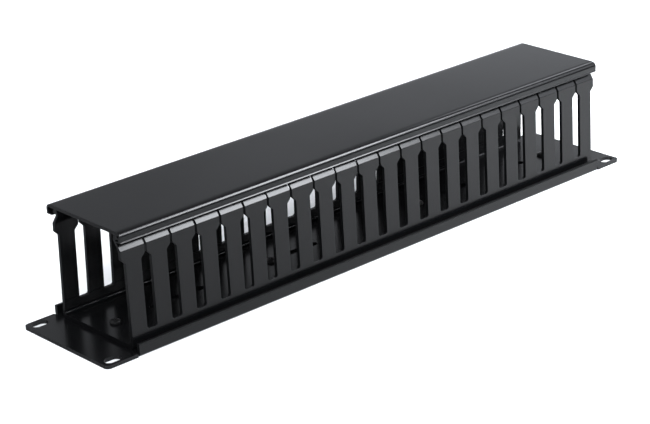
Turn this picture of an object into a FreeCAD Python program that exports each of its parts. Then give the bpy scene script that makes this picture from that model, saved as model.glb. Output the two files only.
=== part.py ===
import FreeCAD, Part
import math
import os

from FreeCAD import Vector

# Horizontal cable manager for a 19 inch rack: a slotted wire duct with a clip-on cover,
# screwed down on a folded steel rack panel.
# It lies on its back: X runs along the duct, Y up the rack, Z out of the rack front.
# The origin is the middle of the panel's rear face. Millimetres.

# Rack panel, one folded sheet
rack_units = 2
unit_height = 44.45
panel_gap = 0.8
panel_width = 482.6
sheet = 2.5
bend_inside = 0.5
bend_outside = 1.6
ear_length = 25.3
lip_height = 8.5
lip_edge_r = 0.7
relief_width = 1.0
ear_corner_r = 3.5
ear_slot_length = 12.0
ear_slot_width = 7.2
ear_slot_inset = 8.75
unit_edge_to_hole = 6.35

# Wire duct, one slotted plastic extrusion
finger_pitch = 20.0
slot_width = 8.0
slot_corner_r = 1.4
throat_width = 2.2
duct_width = 73.2
duct_offset = -1.5
wall = 2.4
wall_lean = 1.6
floor = 2.8
outer_corner_r = 3.0
inner_corner_r = 2.0
slot_bottom = 10.7
flare_bottom = 60.4
crest = 66.7
lean_in = 4.6
lean_rise = 6.6
barb_out = 3.3
barb_rise = 1.2
tip_in = 2.0
tip_rise = 2.4
edge_r = 0.3
score_depth = 0.35
score_heights = [5.2, 11.7]

# Holes in the duct's floor
floor_hole_width = 5.5
oblong_travel = 40.0
oblong_places = [-150.0, -50.0, 100.0]
spare_hole_places = [180.0]

# Clip-on cover, one plastic extrusion, cut to the duct's length
cover_top = 2.3
cover_overhang = 1.5
cover_corner_r = 2.6
cover_inner_r = 0.8
cover_shift = 1.0
cover_seat_gap = 0.5
skirt = 1.8
skirt_drop = 7.2
skirt_lean = 1.4
bead_out = 1.4
bead_rise = 1.4
bead_foot = 0.8
bead_r = 0.4
foot_in = 0.4
hook_play = 1.9
hook_tip = 0.4
hook_rise = 0.9

# Screws that hold the duct to the panel
screw_inset = 18.0
inner_screw_spacing = 140.0
screw_r = 1.9
thread_gap = 0.3
screw_end_gap = 0.3
head_r = 3.7
head_height = 2.6
head_chamfer = 0.9
recess_width = 1.0
recess_span = 4.2
recess_depth = 1.4

# Worked out from the sizes above
panel_height = rack_units * unit_height - panel_gap
ear_slot_spacing_x = panel_width - 2 * ear_slot_inset
ear_slot_spacing_y = rack_units * unit_height - 2 * unit_edge_to_hole
lip_length = panel_width - 2 * ear_length
finger_count = round(lip_length / finger_pitch)
duct_length = finger_count * finger_pitch
duct_half = duct_width / 2
floor_top = sheet + floor
crest_half = duct_half - wall_lean
neck_half = crest_half - lean_in
barb_half = neck_half + barb_out
tip_half = barb_half - tip_in
neck_z = crest + lean_rise
barb_z = neck_z + barb_rise
tip_z = barb_z + tip_rise
flare = (slot_width - throat_width) / 2
flare_top = flare_bottom + flare
cover_half = duct_half + cover_overhang
cover_under = sheet + tip_z + cover_seat_gap
cover_face = cover_under + cover_top
skirt_bottom = cover_face - skirt_drop
skirt_neck_half = cover_half - skirt_lean
bead_half = skirt_neck_half + bead_out
hook_half = neck_half + hook_play
outer_screw = duct_length / 2 - screw_inset
inner_screw = inner_screw_spacing / 2
screw_places = [-outer_screw, -inner_screw, inner_screw, outer_screw]
cut_over = 5.0


def rounded_wire(corners, place):
    # Closed outline through (u, v, radius) corners, with a tangent arc at each rounded one.
    starts = []
    ends = []
    arcs = []
    for i, (u, v, radius) in enumerate(corners):
        here = place(u, v)
        before = place(*corners[i - 1][:2])
        after = place(*corners[(i + 1) % len(corners)][:2])
        back = (before - here).normalize()
        ahead = (after - here).normalize()
        if radius == 0:
            starts.append(here)
            ends.append(here)
            arcs.append(None)
            continue
        half_turn = back.getAngle(ahead) / 2
        reach = radius / math.tan(half_turn)
        middle = (back + ahead).normalize()
        centre = here + middle * (radius / math.sin(half_turn))
        starts.append(here + back * reach)
        ends.append(here + ahead * reach)
        arcs.append(Part.Arc(starts[-1], centre - middle * radius, ends[-1]).toShape())
    edges = []
    for i, arc in enumerate(arcs):
        if arc:
            edges.append(arc)
        edges.append(Part.makeLine(ends[i], starts[(i + 1) % len(starts)]))
    return Part.Wire(edges)


def bar(corners, length):
    # Section in Y and Z, extruded along X about the middle.
    wire = rounded_wire(corners, lambda y, z: Vector(-length / 2, y, z))
    return Part.Face(wire).extrude(Vector(length, 0, 0))


def mirrored(half):
    # A half section at +Y, closed by its own mirror image.
    other = [(-y, z, radius) for y, z, radius in reversed(half)]
    return half + other


def plate(corners, bottom, thickness):
    # Outline in X and Y, raised from a height.
    wire = rounded_wire(corners, lambda x, y: Vector(x, y, bottom))
    return Part.Face(wire).extrude(Vector(0, 0, thickness))


def oblong(x, y, length, width, bottom, height):
    # Slot along X with full-round ends.
    half = (length - width) / 2
    middle = Part.makeBox(2 * half, width, height, Vector(x - half, y - width / 2, bottom))
    left = Part.makeCylinder(width / 2, height, Vector(x - half, y, bottom))
    right = Part.makeCylinder(width / 2, height, Vector(x + half, y, bottom))
    return middle.fuse([left, right]).removeSplitter()


def save(shape, node):
    shape.exportStep("parts/" + node + ".step")


def make_panel():
    half_x = panel_width / 2
    half_y = panel_height / 2
    inner_y = half_y - sheet
    r = ear_corner_r
    flat = plate(
        [(-half_x, -half_y, r), (half_x, -half_y, r), (half_x, half_y, r), (-half_x, half_y, r)],
        0,
        sheet,
    )
    # The ears' edges run straight out to the lips, with a relief cut at each end of a fold.
    fold_x = lip_length + 2 * relief_width
    fold_y = sheet + bend_inside
    for side in (-1, 1):
        strip = Part.makeBox(fold_x, fold_y + cut_over, sheet)
        strip_y = half_y - fold_y if side > 0 else -half_y - cut_over
        strip.translate(Vector(-fold_x / 2, strip_y, 0))
        flat = flat.cut(strip)
    tray = bar(
        mirrored([
            (half_y, 0, bend_outside),
            (half_y, lip_height, lip_edge_r),
            (inner_y, lip_height, lip_edge_r),
            (inner_y, sheet, bend_inside),
        ]),
        lip_length,
    )
    panel = flat.fuse(tray).removeSplitter()
    cutters = []
    for side_x in (-1, 1):
        for side_y in (-1, 1):
            x = side_x * ear_slot_spacing_x / 2
            y = side_y * ear_slot_spacing_y / 2
            cutters.append(oblong(x, y, ear_slot_length, ear_slot_width, 0, sheet))
    for x in screw_places:
        cutters.append(Part.makeCylinder(screw_r + thread_gap, sheet, Vector(x, duct_offset, 0)))
    return panel.cut(cutters)


def duct_section():
    # Half of the duct's section, up the outside of the wall and down the inside.
    inner = duct_half - wall
    # The wall draws in a little from floor to crest, then leans in to a neck and a barb.
    half = [
        (duct_half, 0, outer_corner_r),
        (crest_half, crest, 0),
        (neck_half, neck_z, 0),
        (barb_half, barb_z, 0),
        (tip_half, tip_z, 0),
        (tip_half - wall, tip_z, 0),
        (neck_half - wall, neck_z, 0),
        (crest_half - wall, crest, 0),
    ]
    for height in sorted(score_heights, reverse=True):
        for step, depth in ((score_depth, 0), (0, score_depth), (-score_depth, 0)):
            z = height + step
            half.append((inner - wall_lean * z / crest + depth, z, 0))
    half.append((inner, floor, inner_corner_r))
    return mirrored(half)


def slot_cutter(x, bottom):
    # Slot between two fingers: straight sides, then in to the narrow throat between the heads.
    top = tip_z + cut_over
    side = slot_width / 2
    throat = throat_width / 2
    wire = rounded_wire(
        [
            (x - side, bottom, slot_corner_r),
            (x + side, bottom, slot_corner_r),
            (x + side, flare_bottom, 0),
            (x + throat, flare_top, 0),
            (x + throat, top, 0),
            (x - throat, top, 0),
            (x - throat, flare_top, 0),
            (x - side, flare_bottom, 0),
        ],
        lambda u, v: Vector(u, -duct_half - cut_over, v),
    )
    return Part.Face(wire).extrude(Vector(0, duct_width + 2 * cut_over, 0))


def make_duct():
    duct = bar(duct_section(), duct_length)
    cutters = []
    for i in range(finger_count + 1):
        x = (i - finger_count / 2) * finger_pitch
        at_end = i in (0, finger_count)
        # The ends are cut through the middle of a slot, floor and all.
        cutters.append(slot_cutter(x, -cut_over if at_end else slot_bottom))
    for x in oblong_places:
        length = oblong_travel + floor_hole_width
        cutters.append(oblong(x, 0, length, floor_hole_width, 0, floor))
    for x in spare_hole_places + drilled_places():
        cutters.append(Part.makeCylinder(floor_hole_width / 2, floor, Vector(x, 0, 0)))
    duct = duct.cut(cutters)
    duct.translate(Vector(0, duct_offset, sheet))
    return duct


def drilled_places():
    # Screws that don't pass through one of the oblong holes get a hole of their own.
    drilled = []
    for x in screw_places:
        if all(abs(x - place) > oblong_travel / 2 for place in oblong_places):
            drilled.append(x)
    return drilled


def make_cover():
    bead_z = skirt_bottom + bead_foot
    neck = bead_z + bead_rise
    hook_top = skirt_bottom + hook_tip
    half = [
        (cover_half, cover_face, cover_corner_r),
        (skirt_neck_half, neck, bead_r),
        (bead_half, bead_z, bead_r),
        (bead_half - foot_in, skirt_bottom, edge_r),
        (hook_half, skirt_bottom, 0),
        (hook_half, hook_top, 0),
        (skirt_neck_half - skirt, hook_top + hook_rise, edge_r),
        (cover_half - skirt, cover_under, cover_inner_r),
    ]
    cover = bar(mirrored(half), duct_length)
    cover.translate(Vector(0, duct_offset + cover_shift, 0))
    return cover


def make_screw(x):
    top = floor_top + head_height
    rim = top - head_chamfer
    flat = head_r - head_chamfer
    # Pan head on a plain shank, half its section turned about the axis.
    outline = [
        (0, screw_end_gap),
        (screw_r, screw_end_gap),
        (screw_r, floor_top),
        (head_r, floor_top),
        (head_r, rim),
        (flat, top),
        (0, top),
    ]
    wire = Part.makePolygon([Vector(r, 0, z) for r, z in outline + outline[:1]])
    screw = Part.Face(wire).revolve(Vector(0, 0, 0), Vector(0, 0, 1), 360)
    for span_x, span_y in ((recess_span, recess_width), (recess_width, recess_span)):
        corner = Vector(-span_x / 2, -span_y / 2, top - recess_depth)
        screw = screw.cut(Part.makeBox(span_x, span_y, recess_depth, corner))
    screw.translate(Vector(x, duct_offset, 0))
    return screw


os.makedirs("parts", exist_ok=True)
save(make_panel(), "rack_panel")
save(make_duct(), "wire_duct")
save(make_cover(), "duct_cover")
for number, place in enumerate(screw_places, 1):
    save(make_screw(place), "duct_screw_%d" % number)
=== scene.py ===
import math

import bmesh
import bpy
from mathutils import Matrix, Vector


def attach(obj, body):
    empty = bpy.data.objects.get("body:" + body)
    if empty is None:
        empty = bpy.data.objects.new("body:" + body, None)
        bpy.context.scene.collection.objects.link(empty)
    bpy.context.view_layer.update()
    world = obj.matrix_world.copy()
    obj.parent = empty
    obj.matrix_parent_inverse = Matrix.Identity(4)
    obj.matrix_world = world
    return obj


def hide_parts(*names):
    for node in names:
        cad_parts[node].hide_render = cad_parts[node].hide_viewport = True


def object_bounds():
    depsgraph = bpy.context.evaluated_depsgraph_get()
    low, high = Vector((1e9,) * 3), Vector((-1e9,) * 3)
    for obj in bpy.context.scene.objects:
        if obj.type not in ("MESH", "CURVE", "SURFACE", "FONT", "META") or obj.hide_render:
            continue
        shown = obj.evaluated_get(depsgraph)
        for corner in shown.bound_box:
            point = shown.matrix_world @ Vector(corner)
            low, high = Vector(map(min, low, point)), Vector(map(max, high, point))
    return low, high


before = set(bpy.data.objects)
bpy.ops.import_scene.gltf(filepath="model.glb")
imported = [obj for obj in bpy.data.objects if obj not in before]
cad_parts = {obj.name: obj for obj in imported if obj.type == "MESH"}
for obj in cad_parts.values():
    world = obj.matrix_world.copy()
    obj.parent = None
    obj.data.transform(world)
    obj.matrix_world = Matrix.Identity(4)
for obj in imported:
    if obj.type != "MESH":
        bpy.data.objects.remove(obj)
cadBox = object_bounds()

# a slotted wire duct with a clip-on cover, screwed down on a folded rack panel
# the pieces' dictionaries are in millimetres, the studio's is in metres
mm = 0.001
scene = bpy.context.scene
print("frame loaded:", sorted(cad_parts))


def roundedOutline(corners, steps):
    # (u, v, radius) corners to points, every rounded corner as a run of short chords
    points = []
    for i, (u, v, radius) in enumerate(corners):
        here = Vector((u, v))
        if radius == 0:
            points.append(here)
            continue
        before = (Vector(corners[i - 1][:2]) - here).normalized()
        after = (Vector(corners[(i + 1) % len(corners)][:2]) - here).normalized()
        halfTurn = before.angle(after) / 2
        middle = (before + after).normalized()
        centre = here + middle * radius / math.sin(halfTurn)
        first = here + before * radius / math.tan(halfTurn) - centre
        sweep = math.pi - 2 * halfTurn
        turn = sweep if before.cross(after) < 0 else -sweep
        for k in range(steps + 1):
            a = turn * k / steps
            spun = Vector((first.x * math.cos(a) - first.y * math.sin(a),
                           first.x * math.sin(a) + first.y * math.cos(a)))
            points.append(centre + spun)
    return points


def mirrored(half):
    # one side of an outline, closed by its own mirror image
    return half + [(-u, v, radius) for u, v, radius in reversed(half)]


def prism(outline, axis, low, high):
    # an outline raised along X, Y or Z between two heights
    place = {"X": lambda u, v, c: (c, u, v),
             "Y": lambda u, v, c: (u, c, v),
             "Z": lambda u, v, c: (u, v, c)}[axis]
    bm = bmesh.new()
    lower = [bm.verts.new(Vector(place(u, v, low)) * mm) for u, v in outline]
    upper = [bm.verts.new(Vector(place(u, v, high)) * mm) for u, v in outline]
    bm.faces.new(lower)
    bm.faces.new(upper)
    for i in range(len(outline)):
        j = (i + 1) % len(outline)
        bm.faces.new((lower[i], lower[j], upper[j], upper[i]))
    bmesh.ops.recalc_face_normals(bm, faces=bm.faces)
    return bm


def lathe(profile, around):
    # a profile of (radius, height) points turned about Z
    bm = bmesh.new()
    rings = []
    for r, z in profile:
        if r == 0:
            rings.append([bm.verts.new((0, 0, z * mm))])
        else:
            rings.append([bm.verts.new((x, y, z * mm)) for x, y in circle(r * mm, around)])
    for upper, lower in zip(rings, rings[1:]):
        for k in range(around):
            j = (k + 1) % around
            corners = [upper[k % len(upper)], upper[j % len(upper)],
                       lower[j % len(lower)], lower[k % len(lower)]]
            bm.faces.new(list(dict.fromkeys(corners)))
    bmesh.ops.recalc_face_normals(bm, faces=bm.faces)
    return bm


def toObject(bm, name):
    mesh = bpy.data.meshes.new(name)
    bm.to_mesh(mesh)
    bm.free()
    piece = bpy.data.objects.new(name, mesh)
    scene.collection.objects.link(piece)
    return piece


def oblong(length, width, steps=8):
    # a slot's outline along X, with full-round ends
    run = (length - width) / 2
    r = width / 2
    points = []
    for side, start in ((1, -90), (-1, 90)):
        for k in range(steps + 1):
            a = math.radians(start + 180 * k / steps)
            points.append((side * run + r * math.cos(a), r * math.sin(a)))
    return points


def circle(r, steps=20):
    angles = [2 * math.pi * k / steps for k in range(steps)]
    return [(r * math.cos(a), r * math.sin(a)) for a in angles]


def settle(piece):
    # the evaluated object becomes its own plain mesh, and the modifiers go
    graph = bpy.context.evaluated_depsgraph_get()
    graph.update()
    done = bpy.data.meshes.new_from_object(piece.evaluated_get(graph))
    done.name = piece.name
    piece.modifiers.clear()
    piece.data = done
    return piece


# how the edges of every piece are softened, angles in degrees
softening = {"segments": 2, "normalWeight": 90, "sharpAngle": 60}


def softenEdges(piece, width, limit):
    bevel = piece.modifiers.new("softEdges", "BEVEL")
    bevel.width = width * mm
    bevel.segments = softening["segments"]
    bevel.limit_method = "ANGLE"
    bevel.angle_limit = math.radians(limit)
    bevel.use_clamp_overlap = True
    bevel.miter_outer = "MITER_ARC"
    # the bevel's own faces go to a spare slot, are noted as edges and then put back
    piece.data.materials.append(None)
    spare = len(piece.data.materials) - 1
    bevel.material = spare
    settle(piece)
    edge = piece.data.attributes.new("edge", "FLOAT", "FACE")
    for polygon in piece.data.polygons:
        polygon.use_smooth = True
        if polygon.material_index == spare:
            edge.data[polygon.index].value = 1.0
            polygon.material_index = 0
    piece.data.materials.pop(index=spare)
    even = piece.modifiers.new("evenNormals", "WEIGHTED_NORMAL")
    even.keep_sharp = True
    even.weight = softening["normalWeight"]
    piece.data.set_sharp_from_angle(angle=math.radians(softening["sharpAngle"]))
    return settle(piece)


def addNode(tree, kind, inputs=None, **settings):
    # a node of any tree; each input is linked to a socket or set to a value
    node = tree.nodes.new(kind)
    for key, value in settings.items():
        setattr(node, key, value)
    for socket, source in (inputs or {}).items():
        if hasattr(source, "links"):
            tree.links.new(source, node.inputs[socket])
        else:
            node.inputs[socket].default_value = source
    return node


def geometryTree(name, inputs):
    # a tree that takes a shape, the named inputs and a finish, and gives a shape
    tree = bpy.data.node_groups.new(name, "GeometryNodeTree")
    for label, kind in [("Geometry", "Geometry")] + inputs + [("Finish", "Material")]:
        tree.interface.new_socket(label, in_out="INPUT", socket_type="NodeSocket" + kind)
    tree.interface.new_socket("Geometry", in_out="OUTPUT", socket_type="NodeSocketGeometry")
    return tree, tree.nodes.new("NodeGroupInput")


def closeTree(tree, given, shape):
    # every tree ends in real geometry with its finish on
    real = addNode(tree, "GeometryNodeRealizeInstances", {0: shape})
    finish = addNode(tree, "GeometryNodeSetMaterial",
                     {"Geometry": real.outputs[0], "Material": given.outputs["Finish"]})
    addNode(tree, "NodeGroupOutput", {0: finish.outputs[0]})
    return tree


def inputId(tree, label):
    for item in tree.interface.items_tree:
        if item.item_type == "SOCKET" and item.in_out == "INPUT" and item.name == label:
            return item.identifier


def runTree(piece, tree, values):
    step = piece.modifiers.new(tree.name, "NODES")
    step.node_group = tree
    for label, value in values.items():
        step[inputId(tree, label)] = value
    settle(piece)
    # the finish the tree sets comes last, and it is the only one kept
    for polygon in piece.data.polygons:
        polygon.material_index = 0
    while len(piece.data.materials) > 1:
        piece.data.materials.pop(index=0)
    return piece


def addNoise(tree, place, scale, detail, roughness):
    noise = addNode(tree, "ShaderNodeTexNoise",
                    {"Vector": place, "Scale": scale, "Detail": detail, "Roughness": roughness})
    return noise.outputs[0]


def calculate(tree, operation, first, second):
    return addNode(tree, "ShaderNodeMath", {0: first, 1: second}, operation=operation).outputs[0]


def blendColour(tree, mask, low, high):
    # sockets 6 and 7 take the two colours
    mix = addNode(tree, "ShaderNodeMix", {0: mask, 6: low, 7: high}, data_type="RGBA")
    return mix.outputs[2]


def blendValue(tree, mask, low, high):
    # sockets 2 and 3 take the two values
    mix = addNode(tree, "ShaderNodeMix", {0: mask, 2: low, 3: high}, data_type="FLOAT")
    return mix.outputs[0]


def addBump(tree, height, strength, depth, under=None):
    inputs = {"Strength": strength, "Distance": depth, "Height": height}
    if under:
        inputs["Normal"] = under
    return addNode(tree, "ShaderNodeBump", inputs).outputs[0]


def shaderGroup(name, numbers, output):
    # a shared effect: a place and some numbers in, one height or mask out
    group = bpy.data.node_groups.new(name, "ShaderNodeTree")
    group.interface.new_socket("Vector", in_out="INPUT", socket_type="NodeSocketVector")
    for label, value in numbers.items():
        socket = group.interface.new_socket(label, in_out="INPUT", socket_type="NodeSocketFloat")
        socket.default_value = value
    group.interface.new_socket(output, in_out="OUTPUT", socket_type="NodeSocketFloat")
    return group, group.nodes.new("NodeGroupInput").outputs


def closeGroup(group, value):
    addNode(group, "NodeGroupOutput", {0: value})
    return group


def useGroup(tree, group, place, numbers):
    node = addNode(tree, "ShaderNodeGroup", {"Vector": place, **numbers}, node_tree=group)
    return node.outputs[0]


def makeDieLines():
    # long faint streaks that an extrusion picks up from its die, running along X
    group, given = shaderGroup("dieLines", {"Fineness": 900.0, "Run": 3.0}, "Height")
    split = addNode(group, "ShaderNodeSeparateXYZ", {0: given["Vector"]})
    joined = addNode(group, "ShaderNodeCombineXYZ", {
        axis: calculate(group, "MULTIPLY", split.outputs[axis], given[label])
        for axis, label in enumerate(("Run", "Fineness", "Fineness"))})
    noise = addNoise(group, joined.outputs[0], scale=1.0, detail=3.0, roughness=0.6)
    return closeGroup(group, noise)


def makeMottle():
    # slow cloudy change over the surface, from 0 to 1
    group, given = shaderGroup("mottle", {"Scale": 20.0, "Contrast": 0.5}, "Mask")
    noise = addNoise(group, given["Vector"], given["Scale"], detail=4.0, roughness=0.55)
    low = calculate(group, "SUBTRACT", 0.5, given["Contrast"])
    high = calculate(group, "ADD", 0.5, given["Contrast"])
    spread = addNode(group, "ShaderNodeMapRange",
                     {"Value": noise, "From Min": low, "From Max": high}, clamp=True)
    return closeGroup(group, spread.outputs[0])


def makeGrain():
    # fine skin of the surface: orange peel on paint, matt bloom on plastic
    sizes = {"Size": 1500.0, "Peel": 400.0, "Peel amount": 0.5}
    group, given = shaderGroup("grain", sizes, "Height")
    fine = addNoise(group, given["Vector"], given["Size"], detail=2.0, roughness=0.5)
    peel = addNoise(group, given["Vector"], given["Peel"], detail=1.0, roughness=0.4)
    return closeGroup(group, blendValue(group, given["Peel amount"], fine, peel))


def makeEdgeWear():
    # patchy rubbing along softened edges, from 0 to 1
    group, given = shaderGroup("edgeWear", {"Edge": 0.0, "Scale": 250.0, "Amount": 0.5}, "Mask")
    noise = addNoise(group, given["Vector"], given["Scale"], detail=3.0, roughness=0.6)
    patch = addNode(group, "ShaderNodeMapRange",
                    {"Value": noise, "From Min": 0.42, "From Max": 0.68}, clamp=True)
    onEdge = calculate(group, "MULTIPLY", patch.outputs[0], given["Edge"])
    return closeGroup(group, calculate(group, "MULTIPLY", onEdge, given["Amount"]))


dieLines = makeDieLines()
mottle = makeMottle()
grain = makeGrain()
edgeWear = makeEdgeWear()


def startMaterial(name, look):
    material = bpy.data.materials.new(name)
    material.use_nodes = True
    tree = material.node_tree
    surface = tree.nodes["Principled BSDF"]
    surface.inputs["Specular IOR Level"].default_value = look["specular"]
    coords = tree.nodes.new("ShaderNodeTexCoord")
    return material, tree, surface.inputs, coords.outputs["Object"]


def cloudyFinish(tree, place, look):
    # slow clouds shift the colour and the dullness together
    clouds = useGroup(tree, mottle, place,
                      {"Scale": look["cloudScale"], "Contrast": look["cloudContrast"]})
    tint = blendColour(tree, clouds, look["colour"] + (1,), look["bloom"] + (1,))
    rough = addNode(tree, "ShaderNodeMapRange", {
        "Value": clouds,
        "To Min": look["roughness"] - look["roughSpread"],
        "To Max": look["roughness"] + look["roughSpread"]})
    return tint, rough.outputs[0]


def wornFinish(tree, surface, place, look):
    # the cloudy finish turns a little paler and duller where an edge is rubbed
    tint, rough = cloudyFinish(tree, place, look)
    edge = addNode(tree, "ShaderNodeAttribute", attribute_name="edge", attribute_type="GEOMETRY")
    worn = useGroup(tree, edgeWear, place, {
        "Edge": edge.outputs["Fac"], "Scale": look["wearScale"], "Amount": look["wear"]})
    pale = blendColour(tree, worn, tint, look["worn"] + (1,))
    dull = blendValue(tree, worn, rough, look["wornRoughness"])
    tree.links.new(pale, surface["Base Color"])
    tree.links.new(dull, surface["Roughness"])


def grainBump(tree, place, look, under=None):
    skin = useGroup(tree, grain, place, {
        "Size": look["grainSize"], "Peel": look["peelSize"], "Peel amount": look["peelAmount"]})
    return addBump(tree, skin, look["grainStrength"], look["bumpDepth"] * mm, under)


def extrudedPlastic(name, look):
    # satin black rigid plastic with die lines along its length
    material, tree, surface, place = startMaterial(name, look)
    wornFinish(tree, surface, place, look)
    lines = useGroup(tree, dieLines, place,
                     {"Fineness": look["lineFineness"], "Run": look["lineRun"]})
    lined = addBump(tree, lines, look["lineStrength"], look["bumpDepth"] * mm)
    tree.links.new(grainBump(tree, place, look, lined), surface["Normal"])
    return material


def powderCoat(name, look):
    # thin black powder paint on steel
    material, tree, surface, place = startMaterial(name, look)
    wornFinish(tree, surface, place, look)
    tree.links.new(grainBump(tree, place, look), surface["Normal"])
    return material


# fine tool marks on every cut face
toolMarks = {"cloudScale": 160.0, "cloudContrast": 0.3, "roughSpread": 0.08, "grainSize": 3200.0,
             "peelSize": 900.0, "peelAmount": 0.35, "grainStrength": 0.4, "bumpDepth": 0.03}


def sawCut(name, look):
    # matt face where a saw or a punch went through
    cut = {**look, **toolMarks, "roughness": look["cutRoughness"], "specular": look["cutSpecular"]}
    material, tree, surface, place = startMaterial(name, cut)
    tint, rough = cloudyFinish(tree, place, cut)
    tree.links.new(tint, surface["Base Color"])
    tree.links.new(rough, surface["Roughness"])
    tree.links.new(grainBump(tree, place, cut), surface["Normal"])
    return material


def finishFaces(piece, material, chosen):
    # the faces that pass a test take a finish of their own
    piece.data.materials.append(material)
    slot = len(piece.data.materials) - 1
    for polygon in piece.data.polygons:
        if chosen(polygon):
            polygon.material_index = slot


def looksAlong(polygon, least):
    # a saw or a punch leaves faces that look along X, squarely or nearly so
    return abs(polygon.normal.x) > least


# wire duct: one slotted extrusion
duct = {
    "fingers": 22, "pitch": 20.0, "slot": 8.0, "slotRound": 1.4, "throat": 1.75, "flareRound": 1.2,
    "width": 73.2, "offset": -1.5, "base": 2.5, "wall": 2.4, "wallLean": 1.6, "floor": 2.8,
    "outerRound": 3.0, "innerRound": 2.0, "slotBottom": 10.7, "flareBottom": 60.4, "crest": 66.7,
    "crestRound": 0.8, "crestInnerRound": 0.5, "leanIn": 4.6, "leanRise": 6.6, "barbOut": 3.3,
    "barbRise": 1.2, "tipIn": 2.0, "tipRise": 2.4, "roundSteps": 6, "slotSteps": 5,
    "scoreDepth": 0.35, "scoreHeights": (11.7, 5.2), "scoreBand": (0.3, 0.65), "scoreInset": 1.0,
    "holeWidth": 5.5, "oblongTravel": 40.0, "oblongs": (-150.0, -50.0, 100.0),
    "drilled": (-202.0, 70.0, 180.0, 202.0), "slotOver": 5.0, "holeOver": 1.0,
    "softEdge": 0.1, "softLimit": 38.0, "cutFacing": 0.35,
    "look": {"colour": (0.0020, 0.0021, 0.0023), "bloom": (0.0028, 0.0029, 0.0032),
             "roughness": 0.20, "roughSpread": 0.02, "specular": 0.178,
             "cutRoughness": 0.55, "cutSpecular": 0.06, "wear": 0.4, "wearScale": 260.0,
             "worn": (0.0065, 0.0066, 0.0070), "wornRoughness": 0.32,
             "lineFineness": 1400.0, "lineRun": 4.0, "lineStrength": 0.15,
             "grainSize": 2600.0, "peelSize": 500.0, "peelAmount": 0.4, "grainStrength": 0.05,
             "bumpDepth": 0.02, "cloudScale": 18.0, "cloudContrast": 0.25},
}


def ductSection(d):
    # up the outside of a wall, over the clip profile and down the inside, score lines and all
    half = d["width"] / 2
    inner = half - d["wall"]
    crest = half - d["wallLean"]
    neck = crest - d["leanIn"]
    neckZ = d["crest"] + d["leanRise"]
    barb = neck + d["barbOut"]
    barbZ = neckZ + d["barbRise"]
    tip = barb - d["tipIn"]
    tipZ = barbZ + d["tipRise"]
    side = [(half, 0, d["outerRound"]), (crest, d["crest"], d["crestRound"]), (neck, neckZ, 0),
            (barb, barbZ, 0), (tip, tipZ, 0), (tip - d["wall"], tipZ, 0),
            (neck - d["wall"], neckZ, 0), (crest - d["wall"], d["crest"], d["crestInnerRound"])]
    for height in d["scoreHeights"]:
        for rise, depth in ((d["scoreDepth"], 0), (d["scoreDepth"], 1), (0, 1), (0, 0)):
            z = height + rise
            side.append((inner - d["wallLean"] * z / d["crest"] + depth * d["scoreDepth"], z, 0))
    side.append((inner, d["floor"], d["innerRound"]))
    return mirrored(side), tipZ


def slotCutter(d, name, bottom, top):
    # straight sides, drawn in to the narrow throat between two heads, through both walls
    side = d["slot"] / 2
    throat = d["throat"] / 2
    flareTop = d["flareBottom"] + side - throat
    half = [(side, bottom, d["slotRound"]), (side, d["flareBottom"], d["flareRound"]),
            (throat, flareTop, d["flareRound"]), (throat, top, 0)]
    reach = d["width"] / 2 + d["slotOver"]
    outline = roundedOutline(mirrored(half), d["slotSteps"])
    return toObject(prism(outline, "Y", -reach, reach), name)


def floorCutter(d, name, outline):
    # a hole's outline taken through the floor
    low = d["base"] - d["holeOver"]
    high = d["base"] + d["floor"] + d["holeOver"]
    return toObject(prism(outline, "Z", low, high), name)


def rowCutTree(name, rows):
    # cutters set out in straight rows, then taken away from the incoming shape
    inputs = []
    for row in rows:
        inputs += [(row + " cutter", "Object"), (row + " count", "Int"),
                   (row + " start", "Vector"), (row + " step", "Vector")]
    tree, given = geometryTree(name, inputs)
    join = tree.nodes.new("GeometryNodeJoinGeometry")
    for row in rows:
        line = addNode(tree, "GeometryNodeMeshLine", {
            "Count": given.outputs[row + " count"],
            "Start Location": given.outputs[row + " start"],
            "Offset": given.outputs[row + " step"]})
        cutter = addNode(tree, "GeometryNodeObjectInfo", {"Object": given.outputs[row + " cutter"]})
        spread = addNode(tree, "GeometryNodeInstanceOnPoints",
                         {"Points": line.outputs[0], "Instance": cutter.outputs["Geometry"]})
        tree.links.new(spread.outputs[0], join.inputs[0])
    solid = addNode(tree, "GeometryNodeRealizeInstances", {0: join.outputs[0]})
    cut = addNode(tree, "GeometryNodeMeshBoolean",
                  {"Mesh 1": given.outputs["Geometry"], "Mesh 2": solid.outputs[0]},
                  operation="DIFFERENCE", solver="EXACT")
    return closeTree(tree, given, cut.outputs[0])


def cutInDuct(polygon, d):
    # sawn and punched faces, and the score lines low inside the walls
    # scoreBand is how far their faces reach below and above each height, and scoreInset
    # keeps the test off the walls' outer faces
    across = abs(polygon.center.y / mm - d["offset"])
    height = polygon.center.z / mm - d["base"]
    below, above = d["scoreBand"]
    scored = across < d["width"] / 2 - d["scoreInset"] and any(
        score - below < height < score + above for score in d["scoreHeights"])
    return scored or looksAlong(polygon, d["cutFacing"])


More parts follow.
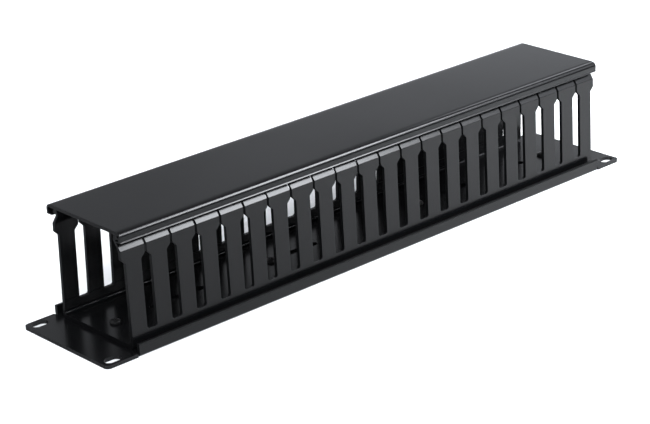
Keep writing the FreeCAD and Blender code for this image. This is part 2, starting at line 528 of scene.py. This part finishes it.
def makeDuct(d):
    section, tipZ = ductSection(d)
    placed = [(y + d["offset"], z + d["base"], r) for y, z, r in section]
    length = d["fingers"] * d["pitch"]
    outline = roundedOutline(placed, d["roundSteps"])
    piece = toObject(prism(outline, "X", -length / 2, length / 2), "slottedDuct")
    top = tipZ + d["base"] + d["slotOver"]
    # the ends are cut through the middle of a slot, floor and all
    slot = slotCutter(d, "slotCutter", d["slotBottom"] + d["base"], top)
    endSlot = slotCutter(d, "endSlotCutter", -d["slotOver"], top)
    hole = floorCutter(d, "holeCutter", circle(d["holeWidth"] / 2))
    oval = floorCutter(d, "ovalCutter", oblong(d["oblongTravel"] + d["holeWidth"], d["holeWidth"]))
    rows = {"Slot": (slot, d["fingers"] - 1, -(d["fingers"] / 2 - 1) * d["pitch"], d["pitch"]),
            "Open end": (endSlot, 2, -length / 2, length)}
    for number, x in enumerate(d["oblongs"], 1):
        rows["Oval hole %d" % number] = (oval, 1, x, 0)
    for number, x in enumerate(d["drilled"], 1):
        rows["Drilled hole %d" % number] = (hole, 1, x, 0)
    values = {"Finish": extrudedPlastic("ductPlastic", d["look"])}
    for row, (cutter, count, start, step) in rows.items():
        values[row + " cutter"] = cutter
        values[row + " count"] = count
        values[row + " start"] = (start * mm, 0.0, 0.0)
        values[row + " step"] = (step * mm, 0.0, 0.0)
    runTree(piece, rowCutTree("slottedWalls", list(rows)), values)
    for cutter in (slot, endSlot, hole, oval):
        bpy.data.objects.remove(cutter)
    softenEdges(piece, d["softEdge"], d["softLimit"])
    finishFaces(piece, sawCut("ductCut", d["look"]), lambda polygon: cutInDuct(polygon, d))
    return piece


slottedDuct = makeDuct(duct)
print("duct:", len(slottedDuct.data.polygons), "faces")


# clip-on cover: one extrusion cut to the duct's length
# neckHalf is half the duct's width at the neck that the hooks sit under
cover = {
    "length": 440.0, "middle": -0.5, "half": 38.1, "face": 82.2, "top": 2.3,
    "skirt": 1.8, "skirtDrop": 7.2, "skirtLean": 0.5, "cornerRound": 3.5, "innerRound": 0.8,
    "crownAt": (10.0, 20.0, 29.0), "edgeStart": 32.1, "easeAt": (32.8, 33.4, 34.0),
    "edgeDrop": 0.17, "edgeWidth": 3.5, "beadOut": 0.5, "beadRise": 0.6, "beadFoot": 0.3,
    "beadRound": 0.16, "footIn": 0.2, "footRound": 0.16, "neckHalf": 30.4, "hookPlay": 1.9,
    "hookTip": 0.4, "hookRise": 0.9, "hookRound": 0.3, "roundSteps": 6,
    "softEdge": 0.1, "softLimit": 50.0, "cutFacing": 0.8,
    "look": {"colour": (0.0022, 0.0023, 0.0025), "bloom": (0.0030, 0.0031, 0.0034),
             "roughness": 0.19, "roughSpread": 0.02, "specular": 0.18,
             "cutRoughness": 0.55, "cutSpecular": 0.06, "wear": 0.4, "wearScale": 260.0,
             "worn": (0.0065, 0.0066, 0.0070), "wornRoughness": 0.32,
             "lineFineness": 900.0, "lineRun": 3.0, "lineStrength": 0.15,
             "grainSize": 2600.0, "peelSize": 420.0, "peelAmount": 0.4, "grainStrength": 0.05,
             "bumpDepth": 0.02, "cloudScale": 14.0, "cloudContrast": 0.25},
}


def coverSection(c):
    under = c["face"] - c["top"]
    bottom = c["face"] - c["skirtDrop"]
    neck = c["half"] - c["skirtLean"]
    beadZ = bottom + c["beadFoot"]
    bead = neck + c["beadOut"]
    hook = c["neckHalf"] + c["hookPlay"]
    hookTop = bottom + c["hookTip"]
    # the flat top eases down ever faster before its long rounded edges
    turn = c["half"] - c["edgeWidth"]
    ease = turn - c["edgeStart"]
    crown = []
    for y in c["crownAt"] + (c["edgeStart"],) + c["easeAt"] + (turn,):
        drop = c["edgeDrop"] * (max(0.0, y - c["edgeStart"]) / ease) ** 2
        crown.append((y, c["face"] - drop, 0))
    corner = c["face"] - c["edgeDrop"] - 2 * c["edgeDrop"] / ease * c["edgeWidth"]
    half = crown + [
        (c["half"], corner, c["cornerRound"]), (neck, beadZ + c["beadRise"], c["beadRound"]),
        (bead, beadZ, c["beadRound"]), (bead - c["footIn"], bottom, c["footRound"]),
        (hook, bottom, 0), (hook, hookTop, 0),
        (neck - c["skirt"], hookTop + c["hookRise"], c["hookRound"]),
        (c["half"] - c["skirt"], under, c["innerRound"])]
    return [(y + c["middle"], z, r) for y, z, r in mirrored(half)]


def makeCover(c):
    outline = roundedOutline(coverSection(c), c["roundSteps"])
    piece = toObject(prism(outline, "X", -c["length"] / 2, c["length"] / 2), "clipCover")
    piece.data.materials.append(extrudedPlastic("coverPlastic", c["look"]))
    softenEdges(piece, c["softEdge"], c["softLimit"])
    finishFaces(piece, sawCut("coverCut", c["look"]),
                lambda polygon: looksAlong(polygon, c["cutFacing"]))
    return piece


clipCover = makeCover(cover)
print("cover:", len(clipCover.data.polygons), "faces")


# rack panel: one folded and painted sheet
# the lips' free edges lie higher than lipEdge
panel = {
    "weldGap": 0.001, "flatAngle": 1.0, "lipEdge": 7.81,
    "softEdge": 0.3, "softLimit": 50.0, "cutFacing": 0.95,
    "look": {"colour": (0.0020, 0.0021, 0.0023), "bloom": (0.0029, 0.0030, 0.0033),
             "roughness": 0.24, "roughSpread": 0.03, "specular": 0.195,
             "cutRoughness": 0.5, "cutSpecular": 0.08, "wear": 0.4, "wearScale": 260.0,
             "worn": (0.0065, 0.0066, 0.0070), "wornRoughness": 0.32,
             "grainSize": 1800.0, "peelSize": 380.0, "peelAmount": 0.65, "grainStrength": 0.25,
             "bumpDepth": 0.03, "cloudScale": 22.0, "cloudContrast": 0.25},
}


def makePanel(p):
    # the solid's own mesh, with its triangles merged back into flat faces
    bm = bmesh.new()
    bm.from_mesh(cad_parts["rack_panel"].data)
    bmesh.ops.remove_doubles(bm, verts=bm.verts, dist=p["weldGap"] * mm)
    bmesh.ops.dissolve_limit(bm, angle_limit=math.radians(p["flatAngle"]),
                             verts=bm.verts, edges=bm.edges)
    piece = toObject(bm, "foldedPanel")
    piece.data.materials.clear()
    piece.data.materials.append(powderCoat("powderPaint", p["look"]))
    softenEdges(piece, p["softEdge"], p["softLimit"])
    # the paint is thin and dull over sheared edges
    finishFaces(piece, sawCut("sheetEdge", p["look"]), lambda polygon: (
        looksAlong(polygon, p["cutFacing"]) or polygon.center.z > p["lipEdge"] * mm))
    return piece


foldedPanel = makePanel(panel)
print("panel:", len(foldedPanel.data.polygons), "faces")


# pan head screws that hold the duct down
screw = {
    "places": (-202.0, -70.0, 70.0, 202.0), "y": -1.5, "seat": 5.3, "headR": 3.7, "rim": 0.9,
    "headHeight": 2.6, "domeSteps": 6, "shankR": 1.9, "end": 0.3, "lastThread": 0.2,
    "threadPitch": 0.7, "threadDepth": 0.3, "around": 28, "recessSpan": 2.1, "recessWidth": 0.5,
    "recessDepth": 1.4, "recessTaper": 0.62, "cutOver": 1.0, "seed": 4,
    "softEdge": 0.12, "softLimit": 60.0,
    "look": {"colour": (0.004, 0.004, 0.0042), "bloom": (0.009, 0.009, 0.009),
             "roughness": 0.3, "roughSpread": 0.06, "specular": 0.3,
             "wear": 0.7, "wearScale": 700.0, "worn": (0.05, 0.05, 0.05), "wornRoughness": 0.35,
             "grainSize": 2400.0, "peelSize": 900.0, "peelAmount": 0.65, "grainStrength": 0.2,
             "bumpDepth": 0.03, "cloudScale": 120.0, "cloudContrast": 0.25},
}


def screwProfile(s):
    # from the top of the dome down over the rim, then along the threaded shank
    dome = s["headHeight"] - s["rim"]
    profile = [(0.0, s["seat"] + s["rim"] + dome)]
    for k in range(s["domeSteps"] - 1, 0, -1):
        a = math.radians(90 * k / s["domeSteps"])
        profile.append((s["headR"] * math.cos(a), s["seat"] + s["rim"] + dome * math.sin(a)))
    profile += [(s["headR"], s["seat"] + s["rim"]), (s["headR"], s["seat"]),
                (s["shankR"], s["seat"])]
    root = s["shankR"] - s["threadDepth"]
    z = s["seat"]
    while z - s["threadPitch"] > s["end"] + s["lastThread"]:
        profile.append((root, z - s["threadPitch"] * 0.5))
        profile.append((s["shankR"], z - s["threadPitch"]))
        z -= s["threadPitch"]
    return profile + [(root, s["end"]), (0.0, s["end"])]


def crossBit(s):
    # the cross recess, drawn in towards its floor
    w = s["recessWidth"]
    span = s["recessSpan"]
    cross = [(w, span), (w, w), (span, w), (span, -w), (w, -w), (w, -span),
             (-w, -span), (-w, -w), (-span, -w), (-span, w), (-w, w), (-w, span)]
    top = s["seat"] + s["headHeight"]
    bit = prism(cross, "Z", top - s["recessDepth"], top + s["cutOver"])
    for vertex in bit.verts:
        if vertex.co.z < top * mm:
            vertex.co.x *= s["recessTaper"]
            vertex.co.y *= s["recessTaper"]
    return toObject(bit, "crossBit")


def oneScrew(s):
    body = toObject(lathe(screwProfile(s), s["around"]), "screwBody")
    bit = crossBit(s)
    recess = body.modifiers.new("recess", "BOOLEAN")
    recess.object = bit
    recess.operation = "DIFFERENCE"
    recess.solver = "EXACT"
    settle(body)
    bpy.data.objects.remove(bit)
    return body


def turnedCopiesTree(name):
    # one instance at every vertex of the incoming mesh, each turned about Z by a seeded angle
    tree, given = geometryTree(name, [("Part", "Object"), ("Full turn", "Float"), ("Seed", "Int")])
    part = addNode(tree, "GeometryNodeObjectInfo", {"Object": given.outputs["Part"]})
    angle = addNode(tree, "FunctionNodeRandomValue", {"Seed": given.outputs["Seed"]},
                    data_type="FLOAT")
    # the node keeps sockets for every data type, so its own are found by theirs
    least, most = [socket for socket in angle.inputs if socket.type == "VALUE"][:2]
    tree.links.new(given.outputs["Full turn"], most)
    drawn = [socket for socket in angle.outputs if socket.type == "VALUE"][0]
    turn = addNode(tree, "ShaderNodeCombineXYZ", {"Z": drawn})
    spread = addNode(tree, "GeometryNodeInstanceOnPoints", {
        "Points": given.outputs["Geometry"], "Instance": part.outputs["Geometry"],
        "Rotation": turn.outputs[0]})
    return closeTree(tree, given, spread.outputs[0])


def makeScrews(s):
    one = oneScrew(s)
    mesh = bpy.data.meshes.new("ductScrews")
    mesh.from_pydata([(x * mm, s["y"] * mm, 0.0) for x in s["places"]], [], [])
    piece = bpy.data.objects.new("ductScrews", mesh)
    scene.collection.objects.link(piece)
    runTree(piece, turnedCopiesTree("setScrews"), {
        "Part": one, "Full turn": 2 * math.pi, "Seed": s["seed"],
        "Finish": powderCoat("blackedSteel", s["look"])})
    bpy.data.objects.remove(one)
    return softenEdges(piece, s["softEdge"], s["softLimit"])


ductScrews = makeScrews(screw)
print("screws:", len(ductScrews.data.polygons), "faces")


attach(slottedDuct, "base")
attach(foldedPanel, "base")
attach(ductScrews, "base")
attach(clipCover, "cover")
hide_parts("wire_duct")
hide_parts("rack_panel")
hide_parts("duct_screw_1", "duct_screw_2", "duct_screw_3", "duct_screw_4")
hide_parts("duct_cover")


# plain pale floor and soft studio light, metres
studio = {
    "floorSize": 12.0, "floorRise": 0.00005, "floorColour": (0.91, 0.92, 0.93),
    "floorRoughness": 0.8, "floorSpecular": 0.1, "airColour": (0.95, 0.98, 1.04),
    "airStrength": 0.46,
    "fill": {"toward": (-0.50, -0.60, 0.62), "distance": 3.0, "strength": 3.6, "spread": 30.0,
             "colour": (0.97, 0.99, 1.02)},
    # a panel leaves either a highlight on glossy faces or plain light, never both
    "panels": {
        "strip": {"leaves": "highlight", "at": (1.30, -1.235, 1.455), "aim": (-0.14, 0.0, 0.08),
                  "along": (0.22, 0.74, 0.62), "width": 0.46, "length": 1.2, "radiance": 42.0,
                  "colour": (0.96, 0.985, 1.03)},
        "glow": {"leaves": "highlight", "at": (1.65, -1.1, 1.2), "aim": (0.0, 0.0, 0.08),
                 "along": (0.0, 0.0, 1.0), "width": 0.9, "length": 0.9, "radiance": 2.6,
                 "colour": (0.94, 0.98, 1.06)},
        "behind": {"leaves": "light", "at": (-0.34, 0.28, 0.24), "aim": (-0.18, 0.1, 0.0),
                   "along": (0.0, 1.0, 0.0), "width": 0.2, "length": 0.2, "radiance": 9.0,
                   "colour": (0.97, 0.99, 1.02)},
        "ceiling": {"leaves": "highlight", "at": (1.35, 0.52, 1.05), "aim": (0.1, 0.0, 0.08),
                    "along": (0.0, 0.87, -0.5), "width": 0.4, "length": 0.5, "radiance": 4.8,
                    "colour": (0.95, 0.98, 1.05)},
        "back": {"leaves": "highlight", "at": (2.08, 1.56, 0.39), "aim": (0.0, 0.0, 0.08),
                 "along": (0.0, 0.0, 1.0), "width": 1.6, "length": 0.9, "radiance": 0.78,
                 "colour": (0.94, 0.98, 1.05)},
        "table": {"leaves": "light", "at": (0.22, -0.16, 0.36), "aim": (0.22, -0.15, 0.0),
                  "along": (0.0, 1.0, 0.0), "width": 0.2, "length": 0.2, "radiance": 14.0,
                  "colour": (0.97, 0.99, 1.02)},
        "side": {"leaves": "light", "at": (0.70, -0.40, 0.35), "aim": (0.36, -0.14, 0.0),
                 "along": (0.0, 1.0, 0.0), "width": 0.4, "length": 0.4, "radiance": 14.0,
                 "colour": (0.97, 0.99, 1.02)},
    },
}


def makeFloor(st):
    size = st["floorSize"] / 2
    bm = bmesh.new()
    corners = ((-1, -1), (1, -1), (1, 1), (-1, 1))
    bm.faces.new([bm.verts.new((x * size, y * size, 0)) for x, y in corners])
    ground = toObject(bm, "studioFloor")
    # a hair above the rear face, so that the two planes don't coincide
    ground.location.z = cadBox[0][2] + st["floorRise"]
    paper = bpy.data.materials.new("paperWhite")
    paper.use_nodes = True
    sheet = paper.node_tree.nodes["Principled BSDF"]
    sheet.inputs["Base Color"].default_value = st["floorColour"] + (1,)
    sheet.inputs["Roughness"].default_value = st["floorRoughness"]
    sheet.inputs["Specular IOR Level"].default_value = st["floorSpecular"]
    ground.data.materials.append(paper)


def makeAir(st):
    world = bpy.data.worlds.new("studioAir")
    world.use_nodes = True
    air = world.node_tree.nodes["Background"]
    air.inputs["Color"].default_value = st["airColour"] + (1,)
    air.inputs["Strength"].default_value = st["airStrength"]
    scene.world = world


def placeLamp(name, kind, at, aim, along, colour):
    # the lamp looks from one point to another, its long side turned to follow a direction
    data = bpy.data.lights.new(name, kind)
    data.color = colour
    lamp = bpy.data.objects.new(name, data)
    back = (Vector(at) - Vector(aim)).normalized()
    side = Vector(along).cross(back).normalized()
    turned = Matrix((side, back.cross(side), back)).transposed().to_4x4()
    lamp.matrix_world = Matrix.Translation(Vector(at)) @ turned
    scene.collection.objects.link(lamp)
    return lamp


def placePanel(name, light):
    lamp = placeLamp(name, "AREA", light["at"], light["aim"], light["along"], light["colour"])
    lamp.data.shape = "RECTANGLE"
    lamp.data.size = light["width"]
    lamp.data.size_y = light["length"]
    lamp.data.energy = light["radiance"] * math.pi * light["width"] * light["length"]
    lamp.visible_diffuse = light["leaves"] == "light"
    lamp.visible_glossy = light["leaves"] == "highlight"


def makeStudio(st):
    makeFloor(st)
    makeAir(st)
    for name, light in st["panels"].items():
        placePanel(name, light)
    fill = st["fill"]
    sun = placeLamp("fill", "SUN", Vector(fill["toward"]) * fill["distance"], (0, 0, 0),
                    (0, 0, 1), fill["colour"])
    sun.data.energy = fill["strength"]
    sun.data.angle = math.radians(fill["spread"])
    sun.visible_glossy = False


makeStudio(studio)

# the camera stands off from its target at two angles and rolls a little, clip in metres
shot = {"azimuth": -41.978, "elevation": 21.907, "roll": -2.299, "distance": 1407.6,
        "target": (-42.90, -27.43, 40.0), "lens": 117.03, "sensor": 36.0, "clip": (0.01, 50.0)}


def makeCamera(c):
    data = bpy.data.cameras.new("shotCamera")
    data.lens = c["lens"]
    data.sensor_width = c["sensor"]
    data.sensor_fit = "HORIZONTAL"
    data.clip_start, data.clip_end = c["clip"]
    camera = bpy.data.objects.new("shotCamera", data)
    scene.collection.objects.link(camera)
    a, e, r = (math.radians(c[angle]) for angle in ("azimuth", "elevation", "roll"))
    back = Vector((math.sin(a) * math.cos(e), -math.cos(a) * math.cos(e), math.sin(e)))
    right = (-back).cross(Vector((0, 0, 1))).normalized()
    up = right.cross(-back)
    axisX = right * math.cos(r) + up * math.sin(r)
    axisY = -right * math.sin(r) + up * math.cos(r)
    spot = Vector(c["target"]) * mm + back * c["distance"] * mm
    turned = Matrix((axisX, axisY, back)).transposed().to_4x4()
    camera.matrix_world = Matrix.Translation(spot) @ turned
    scene.camera = camera


makeCamera(shot)
scene.view_settings.view_transform = "Standard"
scene.view_settings.look = "None"
print("studio and camera set")
